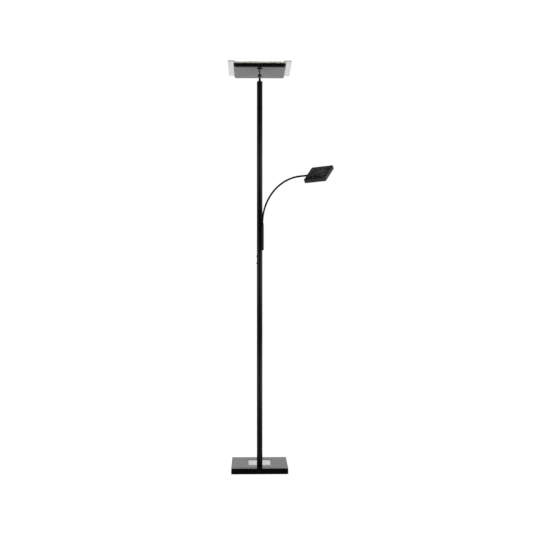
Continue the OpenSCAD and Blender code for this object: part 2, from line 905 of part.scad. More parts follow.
floor_pad();
floor_plate();
ballast_slab();
base_cover();
base_inlay();
base_screws();
cord_grommet();
base_lead();
foot_nipple();
foot_nut();
foot_washer();
foot_insert();
lower_tube();
middle_tube();
upper_tube();
joint_spigots();
joint_sockets();
pole_cap();
lower_lead();
upper_lead();
dimmer_carrier();
dimmer_board();
dimmer_switches();
dimmer_screw();
upper_button();
lower_button();
knuckle_fork();
knuckle_eye();
pivot_screw();
pivot_nut();
friction_washers();
flange_screws();
head_housing();
mount_backplate();
led_driver();
spacer_posts();
heat_plate();
led_board();
led_chips();
board_screws();
glass_pads();
glass_plate();
arm_sleeve();
sleeve_saddles();
neck_ferrule();
neck_link_1();
neck_link_2();
neck_link_3();
neck_link_4();
neck_link_5();
neck_link_6();
neck_tip();
reader_bush();
reader_clip();
reader_shell();
reader_heat_plate();
reader_board();
reader_chips();
reader_screws();
reader_diffuser();
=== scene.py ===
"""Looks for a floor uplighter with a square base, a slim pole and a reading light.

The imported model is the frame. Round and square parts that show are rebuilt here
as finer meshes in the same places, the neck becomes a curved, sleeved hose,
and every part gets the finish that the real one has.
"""

import json
import logging
import math
from dataclasses import dataclass, field
from enum import Enum
from typing import Iterable, Optional, Sequence

import bmesh
import bpy
from mathutils import Matrix, Vector


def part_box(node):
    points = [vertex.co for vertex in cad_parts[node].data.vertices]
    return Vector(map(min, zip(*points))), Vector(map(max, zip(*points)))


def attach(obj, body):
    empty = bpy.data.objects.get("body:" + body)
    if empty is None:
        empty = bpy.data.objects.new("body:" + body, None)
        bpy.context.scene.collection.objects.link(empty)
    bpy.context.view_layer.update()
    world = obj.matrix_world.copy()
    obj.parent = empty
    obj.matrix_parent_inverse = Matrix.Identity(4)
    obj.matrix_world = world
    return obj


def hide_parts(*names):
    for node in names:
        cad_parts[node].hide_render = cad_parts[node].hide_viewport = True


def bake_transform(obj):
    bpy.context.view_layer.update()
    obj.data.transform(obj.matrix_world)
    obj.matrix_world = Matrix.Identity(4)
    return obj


LOG = logging.getLogger("uplighter")
MM = 0.001
TAU = 2 * math.pi
Point = tuple[float, float]


# --------------------------------------------------------------------------
# Colour and shader nodes
# --------------------------------------------------------------------------


def linear(code: str) -> tuple[float, float, float, float]:
    """Turn an sRGB hex colour into the linear colour that shaders use.

    Args:
        code: Six hex digits, with or without a leading hash.

    Returns:
        Red, green, blue and an alpha of 1.
    """
    digits = code.lstrip("#")
    parts = [int(digits[i:i + 2], 16) / 255 for i in (0, 2, 4)]
    bent = [c / 12.92 if c <= 0.04045 else ((c + 0.055) / 1.055) ** 2.4 for c in parts]
    return (bent[0], bent[1], bent[2], 1.0)


def add_node(
    tree: bpy.types.NodeTree,
    kind: str,
    settings: Optional[dict] = None,
    links: Optional[dict] = None,
    **attributes: object,
) -> bpy.types.Node:
    """Add a node with its settings and its links.

    Args:
        tree: The tree that the node joins.
        kind: The node's type, without the leading "ShaderNode".
        settings: Input values, by socket name or number.
        links: Output sockets that feed the inputs, by socket name or number.
        attributes: Properties of the node itself.

    Returns:
        The new node.
    """
    node = tree.nodes.new("ShaderNode" + kind)
    for name, value in attributes.items():
        setattr(node, name, value)
    for socket, value in (settings or {}).items():
        node.inputs[socket].default_value = value
    for socket, source in (links or {}).items():
        tree.links.new(source, node.inputs[socket])
    return node


def fade(
    tree: bpy.types.NodeTree,
    sine: bpy.types.NodeSocket,
    start_deg: float,
    end_deg: float,
    start: float,
    end: float,
) -> bpy.types.NodeSocket:
    """Fade smoothly from one value to another between two angles.

    Args:
        tree: The tree that the node joins.
        sine: The sine of the angle.
        start_deg: The angle where the fade starts.
        end_deg: The angle where it ends.
        start: The value before the fade.
        end: The value after it.

    Returns:
        The faded value.
    """
    span_of = {
        "From Min": math.sin(math.radians(start_deg)), "From Max": math.sin(math.radians(end_deg)),
        "To Min": start, "To Max": end,
    }
    return add_node(tree, "MapRange", span_of, {"Value": sine},
                    interpolation_type="SMOOTHSTEP").outputs["Result"]


def product(
    tree: bpy.types.NodeTree, one: bpy.types.NodeSocket, other: bpy.types.NodeSocket
) -> bpy.types.NodeSocket:
    """Multiply two values."""
    return add_node(tree, "Math", None, {0: one, 1: other}, operation="MULTIPLY").outputs[0]


def facing(
    tree: bpy.types.NodeTree, level: bpy.types.NodeSocket, turned_deg: float
) -> bpy.types.NodeSocket:
    """Measure how far a level direction faces a compass point.

    Args:
        tree: The tree that the nodes join.
        level: The direction, level and of length 1.
        turned_deg: The compass point, in degrees from -Y towards +X.

    Returns:
        The cosine of the angle between them.
    """
    turned = math.radians(turned_deg)
    point = (math.sin(turned), -math.cos(turned), 0.0)
    return add_node(tree, "VectorMath", {1: point}, {0: level}, operation="DOT_PRODUCT").outputs["Value"]


def light_up(shader: bpy.types.Node, glow: str, strength: float) -> None:
    """Make a shader glow.

    Args:
        shader: The principled shader.
        glow: The light's colour, as an sRGB hex value.
        strength: How bright it is.
    """
    shader.inputs["Emission Color"].default_value = linear(glow)
    shader.inputs["Emission Strength"].default_value = strength


# --------------------------------------------------------------------------
# Finishes
# --------------------------------------------------------------------------


@dataclass(frozen=True)
class Finish:
    """A surface finish: a common material and how its surface was made."""

    name: str
    colour: str
    metallic: float = 0.0
    rough: float = 0.4
    rough_spread: float = 0.06
    grain_mm: float = 1.5
    bump_mm: float = 0.01
    ior: float = 1.5

    def coordinates(self, tree: bpy.types.NodeTree) -> bpy.types.NodeSocket:
        """Return object coordinates, which stay with the part as it moves."""
        return add_node(tree, "TexCoord").outputs["Object"]

    def grain(self, tree: bpy.types.NodeTree) -> bpy.types.NodeSocket:
        """Return the fine pattern, from 0 to 1, that bumps and roughens the surface."""
        noise = add_node(
            tree, "TexNoise",
            {"Scale": 1 / (self.grain_mm * MM), "Detail": 3.0, "Roughness": 0.55},
            {"Vector": self.coordinates(tree)},
        )
        return noise.outputs["Fac"]

    def handling(self, tree: bpy.types.NodeTree) -> bpy.types.NodeSocket:
        """Return a broad, faint pattern of wiping and handling, from 0 to 1."""
        noise = add_node(
            tree, "TexNoise", {"Scale": 22.0, "Detail": 4.0, "Distortion": 0.6},
            {"Vector": self.coordinates(tree)},
        )
        return noise.outputs["Fac"]

    def paint(self, tree: bpy.types.NodeTree, shader: bpy.types.Node) -> None:
        """Set the colour, with a trace of variation so that it isn't flat.

        Args:
            tree: The material's tree.
            shader: Its principled shader.
        """
        base = linear(self.colour)
        lighter = tuple(min(1.0, c * 1.25 + 0.001) for c in base[:3]) + (1.0,)
        mixed = add_node(tree, "Mix", {6: base, 7: lighter}, {0: self.handling(tree)},
                         data_type="RGBA")
        tree.links.new(mixed.outputs[2], shader.inputs["Base Color"])

    def polish(self, tree: bpy.types.NodeTree) -> bpy.types.NodeSocket:
        """Return the pattern that the roughness follows, from 0 to 1."""
        return self.handling(tree)

    def roughen(self, tree: bpy.types.NodeTree, shader: bpy.types.Node) -> None:
        """Spread the roughness a little around its value.

        Args:
            tree: The material's tree.
            shader: Its principled shader.
        """
        lowest = max(0.0, self.rough - self.rough_spread)
        spread = add_node(
            tree, "MapRange",
            {"To Min": lowest, "To Max": self.rough + self.rough_spread},
            {"Value": self.polish(tree)},
        )
        tree.links.new(spread.outputs["Result"], shader.inputs["Roughness"])

    def bump(self, tree: bpy.types.NodeTree, shader: bpy.types.Node) -> None:
        """Raise the grain by its real height.

        Args:
            tree: The material's tree.
            shader: Its principled shader.
        """
        raised = add_node(
            tree, "Bump", {"Strength": 1.0, "Distance": self.bump_mm * MM},
            {"Height": self.grain(tree)},
        )
        tree.links.new(raised.outputs["Normal"], shader.inputs["Normal"])

    def extras(self, tree: bpy.types.NodeTree, shader: bpy.types.Node) -> None:
        """Add what only this finish has; the plain finish has nothing more."""

    def build(self) -> bpy.types.Material:
        """Make the material once, and return the same one after that."""
        made = bpy.data.materials.get(self.name)
        if made is not None:
            return made
        made = bpy.data.materials.new(self.name)
        made.use_nodes = True
        tree = made.node_tree
        shader = tree.nodes["Principled BSDF"]
        shader.inputs["Metallic"].default_value = self.metallic
        if self.metallic < 0.5:
            shader.inputs["IOR"].default_value = self.ior
        self.paint(tree, shader)
        self.roughen(tree, shader)
        self.bump(tree, shader)
        self.extras(tree, shader)
        return made


@dataclass(frozen=True)
class Lacquer(Finish):
    """Sprayed steel: the long low ripple of orange peel breaks up reflections."""

    ripple_mm: float = 2.4

    def grain(self, tree: bpy.types.NodeTree) -> bpy.types.NodeSocket:
        """Return soft orange peel with a trace of dust on it."""
        where = self.coordinates(tree)
        peel = add_node(tree, "TexNoise", {"Scale": 1 / (self.ripple_mm * MM), "Detail": 1.0},
                        {"Vector": where})
        dust = add_node(tree, "TexNoise", {"Scale": 1 / (0.5 * MM), "Detail": 2.0}, {"Vector": where})
        both = add_node(tree, "Math", {1: 0.12}, {0: dust.outputs["Fac"], 2: peel.outputs["Fac"]},
                        operation="MULTIPLY_ADD")
        return both.outputs["Value"]


@dataclass(frozen=True)
class Brushed(Finish):
    """Metal rubbed one way with abrasive: long scratches stretch its highlights."""

    along: tuple[float, float, float] = (1.0, 0.0, 0.0)
    scratch_mm: float = 0.5
    stretch: float = 60.0

    def grain(self, tree: bpy.types.NodeTree) -> bpy.types.NodeSocket:
        """Return scratches, drawn half a millimetre wide so that they show."""
        fine = 1 / (self.scratch_mm * MM)
        scale = tuple(fine / self.stretch if a > 0.5 else fine for a in self.along)
        mapped = add_node(tree, "Mapping", {"Scale": scale}, {"Vector": self.coordinates(tree)})
        noise = add_node(tree, "TexNoise", {"Scale": 1.0, "Detail": 4.0, "Roughness": 0.7},
                         {"Vector": mapped.outputs["Vector"]})
        return noise.outputs["Fac"]

    def polish(self, tree: bpy.types.NodeTree) -> bpy.types.NodeSocket:
        """Let the scratches themselves be rougher and smoother."""
        return self.grain(tree)


@dataclass(frozen=True)
class Glass(Finish):
    """Float glass: clear where it is polished, milky where it is ground or etched."""

    clear: float = 1.0
    # glow and strength paint a glow into the glass that stands in for light shining through it
    glow: str = "#fff1d8"
    strength: float = 0.0

    def extras(self, tree: bpy.types.NodeTree, shader: bpy.types.Node) -> None:
        """Let light through, and give the etched middle a painted glow (emission) that stands in for the panel's
        light below.
        """
        shader.inputs["Transmission Weight"].default_value = self.clear
        light_up(shader, self.glow, self.strength)


@dataclass(frozen=True)
class Opal(Finish):
    """Opal acrylic over lit diodes: milky, evenly bright and slightly glossy."""

    glow: str = "#ffdf9e"
    strength: float = 3.0

    def extras(self, tree: bpy.types.NodeTree, shader: bpy.types.Node) -> None:
        """Light it from within."""
        light_up(shader, self.glow, self.strength)


# Satin black lacquer on steel: near-black body whose sheen carries the room.
LACQUER = Lacquer("lacquered_steel_satin", "#060607", rough=0.26, rough_spread=0.02, bump_mm=0.003)
# Brushed stainless steel: grey with long scratches across the inlay.
STAINLESS = Brushed("stainless_steel_brushed", "#e2e2e4", 1.0, 0.34, 0.08, bump_mm=0.004)
# Black nickel plate on turned brass: dark mirror with faint turning marks.
BLACK_NICKEL = Brushed("black_nickel_turned", "#6d6c70", 1.0, 0.16, 0.05, bump_mm=0.002,
                       along=(0.0, 0.0, 0.0), scratch_mm=0.25)
# Satin nickel plate: warm light grey, soft highlights.
NICKEL = Finish("nickel_plated_satin", "#a9a49b", 1.0, 0.24, 0.05, 0.4, 0.003)
# Bright zinc plate: cool grey with a cloudy bloom.
ZINC = Finish("zinc_plated_steel", "#b9bdc2", 1.0, 0.38, 0.1, 0.8, 0.004)
# Grey iron, sand cast and primed: dull and pitted.
IRON = Finish("cast_iron_primed", "#2a2a2c", 0.0, 0.75, 0.08, 0.9, 0.12)
# Aluminium sheet as rolled: pale with a soft sheen.
ALUMINIUM = Brushed("aluminium_rolled", "#cfd2d4", 1.0, 0.4, 0.06, bump_mm=0.003)
# Black ABS, moulded with a fine spark texture.
ABS = Finish("abs_moulded_black", "#131315", 0.0, 0.45, 0.05, 0.35, 0.02)
# Black polycarbonate keys: smoother than the tube around them.
KEY_PLASTIC = Finish("polycarbonate_moulded_satin", "#1b1b1e", 0.0, 0.32, 0.04, 0.4, 0.006)
# White ABS driver case.
WHITE_ABS = Finish("abs_moulded_white", "#d9d8d2", 0.0, 0.5, 0.05, 0.5, 0.02)
# PVC cable sheath, extruded: slightly waxy black.
PVC = Finish("pvc_extruded_black", "#141414", 0.0, 0.5, 0.06, 1.0, 0.01)
# Closed-cell foam under the base: matt with tiny pores.
FOAM = Finish("eva_foam_cut", "#26262a", 0.0, 0.9, 0.05, 0.6, 0.08, ior=1.4)
# Silicone pads between glass and housing.
SILICONE = Finish("silicone_moulded_clear", "#9a9a98", 0.0, 0.4, 0.05, 0.7, 0.01, ior=1.41)
# White solder mask on aluminium boards.
SOLDER_MASK = Finish("solder_mask_white", "#e8e7e0", 0.0, 0.35, 0.04, 0.5, 0.01)
# Phosphor gel over the diodes, lit.
PHOSPHOR = Opal("phosphor_gel_lit", "#ecc95a", rough=0.3, glow="#ffe0a0", strength=1.5)
# Opal acrylic of the reading light, lit from behind.
OPAL = Opal("acrylic_opal_lit", "#fff6e4", rough=0.35, bump_mm=0.004, glow="#ffe2ae", strength=2.6)
# Silicone sleeve shrunk over the wound neck: matt black, the turns only just show.
NECK_SLEEVE = Finish("silicone_sleeve_matt_black", "#040404", 0.0, 0.55, 0.04, 0.5, 0.004, ior=1.35)
# Polished float glass: faint grey-green, sharp reflections.
CLEAR_GLASS = Glass("float_glass_polished", "#c9cecc", rough=0.02, rough_spread=0.0, bump_mm=0.0)
# Ground and fire-polished glass edge: milky, it gathers light from the plate.
EDGE_GLASS = Glass("float_glass_edge_ground", "#dfe6e3", rough=0.35, bump_mm=0.004, clear=0.55)
# Glass etched over the light panel: white, with a painted glow in its emission that stands in for the panel's
# light shining through it.
ETCHED_GLASS = Glass("float_glass_etched", "#f4f2ec", rough=0.5, bump_mm=0.01, clear=0.0, strength=0.5)
# Black oxide on a small steel screw.
BLACK_OXIDE = Finish("steel_black_oxide", "#101012", 0.6, 0.4, 0.05, 0.4, 0.004)


class Slot(Enum):
    """The record's material slots and the finish that each one stands for."""

    FOAM = ("foam", FOAM)
    ZINC_STEEL = ("zinc_steel", ZINC)
    IRON = ("iron", IRON)
    BLACK_LACQUER = ("black_lacquer", LACQUER)
    BRUSHED_STEEL = ("brushed_steel", STAINLESS)
    BLACK_PLASTIC = ("black_plastic", ABS)
    CABLE = ("cable", PVC)
    CIRCUIT_BOARD = ("circuit_board", SOLDER_MASK)
    BLACK_SCREW = ("black_screw", BLACK_OXIDE)
    BUTTON_PLASTIC = ("button_plastic", KEY_PLASTIC)
    BLACK_NICKEL = ("black_nickel", BLACK_NICKEL)
    NICKEL = ("nickel", NICKEL)
    DRIVER_CASE = ("driver_case", WHITE_ABS)
    ALUMINIUM = ("aluminium", ALUMINIUM)
    LED_PHOSPHOR = ("led_phosphor", PHOSPHOR)
    SILICONE = ("silicone", SILICONE)
    GLASS = ("glass", CLEAR_GLASS)
    NECK_BLACK = ("neck_black", NECK_SLEEVE)
    DIFFUSER = ("diffuser", OPAL)

    @property
    def slot(self) -> str:
        """The slot's name in the record."""
        return self.value[0]

    @property
    def finish(self) -> Finish:
        """The finish that dresses the slot."""
        return self.value[1]


# --------------------------------------------------------------------------
# Mesh making
# --------------------------------------------------------------------------


@dataclass(frozen=True)
class Corner:
    """A corner of a profile: where it is, and the radius that rounds it."""

    across: float
    up: float
    radius: float = 0.0


def rounded(corners: Sequence[Corner], steps: int = 4) -> list[Point]:
    """Turn a profile's corners into points, with an arc at each rounded one.

    Args:
        corners: The profile's corners in order; the first and last aren't rounded.
        steps: How many flats each arc has.

    Returns:
        The profile's points.
    """
    points: list[Point] = []
    for i, corner in enumerate(corners):
        here = Vector((corner.across, corner.up))
        if corner.radius <= 0 or i in (0, len(corners) - 1):
            points.append(tuple(here))
            continue
        before = Vector((corners[i - 1].across, corners[i - 1].up)) - here
        after = Vector((corners[i + 1].across, corners[i + 1].up)) - here
        half = before.angle(after) / 2
        reach = min(corner.radius / math.tan(half), before.length * 0.49, after.length * 0.49)
        start, end = here + before.normalized() * reach, here + after.normalized() * reach
        for step in range(steps + 1):
            t = step / steps
            points.append(tuple((1 - t) ** 2 * start + 2 * t * (1 - t) * here + t ** 2 * end))
    return points


def square_ring(half: float, radius: float, steps: int) -> list[Point]:
    """Return a square with rounded corners, anticlockwise.

    Args:
        half: Half the square's side.
        radius: Radius of its corners.
        steps: How many flats each corner has.

    Returns:
        The ring's points.
    """
    reach = min(radius, half * 0.98)
    points = []
    for quarter, (x, y) in enumerate(((1, 1), (-1, 1), (-1, -1), (1, -1))):
        for step in range(steps + 1):
            a = (quarter + step / steps) * math.pi / 2
            points.append((x * (half - reach) + reach * math.cos(a),
                           y * (half - reach) + reach * math.sin(a)))
    return points


def circle_ring(radius: float, count: int) -> list[Point]:
    """Return a circle's points, anticlockwise."""
    angles = (TAU * i / count for i in range(count))
    return [(radius * math.cos(a), radius * math.sin(a)) for a in angles]


def loft(
    name: str,
    rings: Sequence[Sequence[Vector]],
    close_ends: bool = True,
    sharp_over: float = 35.0,
) -> bpy.types.Object:
    """Join rings of points into a closed skin.

    Args:
        name: The new object's name.
        rings: Rings with equal numbers of points.
        close_ends: Whether the first and last rings are filled.
        sharp_over: Edges bent more than this many degrees stay crisp.

    Returns:
        The new object, in the scene.
    """
    mesh = bmesh.new()
    made = [[mesh.verts.new(p) for p in ring] for ring in rings]
    count = len(made[0])
    for low, high in zip(made, made[1:]):
        for i in range(count):
            j = (i + 1) % count
            mesh.faces.new((low[i], low[j], high[j], high[i]))
    if close_ends:
        mesh.faces.new(list(reversed(made[0])))
        mesh.faces.new(made[-1])
    bmesh.ops.recalc_face_normals(mesh, faces=mesh.faces)
    for face in mesh.faces:
        face.smooth = True
    for edge in mesh.edges:
        if len(edge.link_faces) == 2:
            edge.smooth = edge.calc_face_angle(0.0) < math.radians(sharp_over)
    data = bpy.data.meshes.new(name)
    mesh.to_mesh(data)
    mesh.free()
    made_object = bpy.data.objects.new(name, data)
    bpy.context.scene.collection.objects.link(made_object)
    return made_object


def square_loft(
    name: str,
    profile: Sequence[tuple[float, float, float]],
    place: Matrix,
    steps: int = 6,
) -> bpy.types.Object:
    """Loft a profile round a square with rounded corners.

    Args:
        name: The new object's name.
        profile: Half side, height and corner radius of each ring.
        place: Where the square's own frame is.
        steps: How many flats each corner has.

    Returns:
        The new object.
    """
    rings = [
        [place @ Vector((x, y, z)) for x, y in square_ring(half, radius, steps)]
        for half, z, radius in profile
    ]
    return loft(name, rings)


def lathe(
    name: str, profile: Sequence[Point], place: Matrix, count: int = 64
) -> bpy.types.Object:
    """Turn a profile round the z axis of a frame.

    Args:
        name: The new object's name.
        profile: Radius and height of each ring.
        place: The frame to turn it in.
        count: How many points each ring has.

    Returns:
        The new object.
    """
    rings = [[place @ Vector((x, y, z)) for x, y in circle_ring(r, count)] for r, z in profile]
    return loft(name, rings)


def frame_on(origin: Vector, z_axis: Vector, x_axis: Vector) -> Matrix:
    """Return a frame from its origin, its z axis and a rough x axis."""
    z = z_axis.normalized()
    y = z.cross(x_axis).normalized()
    x = y.cross(z)
    turned = Matrix((x, y, z)).transposed().to_4x4()
    return Matrix.Translation(origin) @ turned


def span(node: str, axis: Vector) -> tuple[float, float]:
    """Return how far a CAD node reaches along an axis, as lowest and highest."""
    reach = [v.co.dot(axis) for v in FRAME["nodes"][node].data.vertices]
    return min(reach), max(reach)


def joint_named(name: str) -> dict:
    """Return one of the frame's joints by its name."""
    return next(j for j in FRAME["joints"] if j["name"] == name)


def middle_of(node: str) -> Vector:
    """Return the middle of a CAD node's box."""
    low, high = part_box(node)
    return (low + high) / 2


# --------------------------------------------------------------------------
# Sub-assemblies
# --------------------------------------------------------------------------


@dataclass
class Assembly:
    """A sub-assembly: it builds its pieces, dresses them and seats them on a body."""

    made: list[bpy.types.Object] = field(default_factory=list)

    def seat(self, piece: bpy.types.Object, body: str, slot: Slot, *nodes: str) -> bpy.types.Object:
        """Dress a piece, fix it to its body and let it stand for CAD nodes.

        Args:
            piece: The new piece.
            body: The body that it moves with.
            slot: Its finish.
            nodes: The CAD nodes that it stands for.

        Returns:
            The piece.
        """
        piece.data.materials.append(slot.finish.build())
        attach(piece, body)
        self.declare(piece, slot, *nodes)
        return piece

    def declare(self, piece: bpy.types.Object, slot: Slot, *nodes: str) -> None:
        """Keep the piece among the made ones and hide the CAD nodes that it stands for."""
        if nodes:
            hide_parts(*nodes)
        self.made.append(piece)
        LOG.info("%s: %d vertices", piece.name, len(piece.data.vertices))

    def build(self) -> None:
        """Build every piece of the sub-assembly."""
        raise NotImplementedError


@dataclass
class Base(Assembly):
    """The weighted square base."""

    edge: float = 0.9 * MM
    corner: float = 1.2 * MM
    wall: float = 2.0 * MM
    inlay_bevel: float = 0.35 * MM
    gap: float = 0.1 * MM

    def build(self) -> None:
        """Build the cover and the inlay."""
        self.cover()
        self.inlay()

    def cover(self) -> None:
        """Build the pressed cover, with the inlay's recess in its top."""
        low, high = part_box("base_cover")
        inlay_low, inlay_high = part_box("base_inlay")
        half, top = (high.x - low.x) / 2, high.z
        recess = (inlay_high.x - inlay_low.x) / 2 + self.gap
        outline = rounded([
            Corner(1 * MM, top - self.wall),
            Corner(half - self.wall, top - self.wall, self.edge),
            Corner(half - self.wall, low.z),
            Corner(half, low.z, 0.3 * MM),
            Corner(half, top, self.edge),
            Corner(recess, top, 0.15 * MM),
            Corner(recess, inlay_low.z),
            Corner(1 * MM, inlay_low.z),
        ])
        rings = [(a, z, self.corner if a > half - self.wall * 0.9 else 0.4 * MM) for a, z in outline]
        piece = square_loft("base_cover_pressed", rings, Matrix.Identity(4))
        self.seat(piece, "stand", Slot.BLACK_LACQUER, "base_cover")

    def inlay(self) -> None:
        """Build the brushed inlay with a fine bevel round it."""
        low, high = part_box("base_inlay")
        half = (high.x - low.x) / 2
        b = self.inlay_bevel
        rings = [(half, low.z, 0.4 * MM), (half, high.z - b, 0.4 * MM), (half - b, high.z, 0.3 * MM)]
        piece = square_loft("base_inlay_brushed", [(1 * MM, low.z, 0.2 * MM), *rings,
                                                   (1 * MM, high.z, 0.2 * MM)], Matrix.Identity(4))
        self.seat(piece, "stand", Slot.BRUSHED_STEEL, "base_inlay")


@dataclass
class Pole(Assembly):
    """The three tubes of the pole and the cap that closes them."""

    wall: float = 1.2 * MM
    seam: float = 0.35 * MM
    cap_skirt: float = 2.0 * MM
    cap_inset: float = 1.3 * MM
    cap_edge: float = 0.9 * MM
    count: int = 96

    def build(self) -> None:
        """Build each tube as a turned shell with eased ends."""
        for node in ("lower_tube", "middle_tube", "upper_tube"):
            self.tube(node)
        self.cap()

    def axis(self) -> Matrix:
        """Return the frame on the floor under the pole."""
        middle = middle_of("upper_tube")
        return Matrix.Translation((middle.x, middle.y, 0))

    def tube(self, node: str) -> None:
        """Build one tube.

        Args:
            node: The CAD tube that it stands for.
        """
        low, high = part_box(node)
        outer = (high.x - low.x) / 2
        inner = outer - self.wall
        s = self.seam
        outline = [(inner, low.z), (outer - s, low.z), (outer - s * 0.3, low.z + s * 0.3),
                   (outer, low.z + s), (outer, high.z - s), (outer - s * 0.3, high.z - s * 0.3),
                   (outer - s, high.z), (inner, high.z)]
        rings = [[self.axis() @ Vector((x, y, z)) for x, y in circle_ring(r, self.count)]
                 for r, z in [*outline, outline[0]]]
        piece = loft(node + "_turned", rings, close_ends=False, sharp_over=50)
        self.seat(piece, "stand", Slot.BLACK_LACQUER, node)

    def cap(self) -> None:
        """Build the cap that closes the pole, with an eased upper edge."""
        low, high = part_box("pole_cap")
        outer = (high.x - low.x) / 2
        outline = rounded([
            Corner(outer - self.cap_inset, low.z + 1 * MM),
            Corner(outer - self.cap_inset, high.z - self.cap_skirt),
            Corner(outer, high.z - self.cap_skirt, 0.2 * MM),
            Corner(outer, high.z, self.cap_edge),
            Corner(4 * MM, high.z),
        ])
        piece = lathe("pole_cap_turned", outline, self.axis(), self.count)
        self.seat(piece, "stand", Slot.BLACK_LACQUER, "pole_cap")


@dataclass
class Head(Assembly):
    """The tilting head: housing and glass."""

    wall: float = 2.0 * MM
    corner: float = 10.0 * MM
    roll_up: float = 6.5 * MM
    roll_in: float = 6.0 * MM
    glass_corner: float = 3.0 * MM
    glass_edge: float = 0.6 * MM
    etched_in: float = 8.0 * MM

    def build(self) -> None:
        """Build the housing and the glass."""
        self.housing()
        self.glass()

    def place(self) -> Matrix:
        """Return the frame in the middle of the head, at the floor's height."""
        middle = middle_of("glass_plate")
        return Matrix.Translation((middle.x, middle.y, 0))

    def housing(self) -> None:
        """Build the housing as a pressed tray with a soft lower edge."""
        low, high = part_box("head_housing")
        half = (high.x - low.x) / 2
        inside = half - self.wall
        outline = rounded([
            Corner(1 * MM, low.z + self.wall),
            Corner(inside, low.z + self.wall, 1.5 * MM),
            Corner(inside, high.z),
            Corner(half, high.z, 0.4 * MM),
            Corner(half, low.z + self.roll_up, 0.7 * self.roll_up),
            Corner(half - self.roll_in, low.z, 0.6 * self.roll_in),
            Corner(1 * MM, low.z),
        ], 5)
        rings = [(a, z, max(0.5 * MM, self.corner - (half - a)) if a > half / 2 else 0.3 * MM)
                 for a, z in outline]
        piece = square_loft("head_housing_pressed", rings, self.place(), 8)
        self.seat(piece, "lamp_head", Slot.BLACK_LACQUER, "head_housing")

    def glass(self) -> None:
        """Build the glass plate: clear border, ground edge and etched middle."""
        low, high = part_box("glass_plate")
        housing_low, housing_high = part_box("head_housing")
        half, e = (high.x - low.x) / 2, self.glass_edge
        etched = (housing_high.x - housing_low.x) / 2 - self.etched_in
        corner = self.glass_corner
        rings = [(1 * MM, low.z, 0.3 * MM), (etched, low.z, corner), (half - e, low.z, corner - e),
                 (half, low.z + e, corner), (half, high.z - e, corner), (half - e, high.z, corner - e),
                 (etched, high.z, corner), (1 * MM, high.z, 0.3 * MM)]
        piece = square_loft("glass_plate_polished", rings, self.place(), 6)
        for finish in (CLEAR_GLASS, EDGE_GLASS, ETCHED_GLASS):
            piece.data.materials.append(finish.build())
        middle = self.place().translation
        for face in piece.data.polygons:
            away = face.center - middle
            inside = max(abs(away.x), abs(away.y)) < etched
            # The etched middle takes the glass with the painted glow that stands in for the panel's light below.
            face.material_index = 1 if abs(face.normal.z) < 0.9 else 2 if inside else 0
        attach(piece, "lamp_head")
        self.declare(piece, Slot.GLASS, "glass_plate")


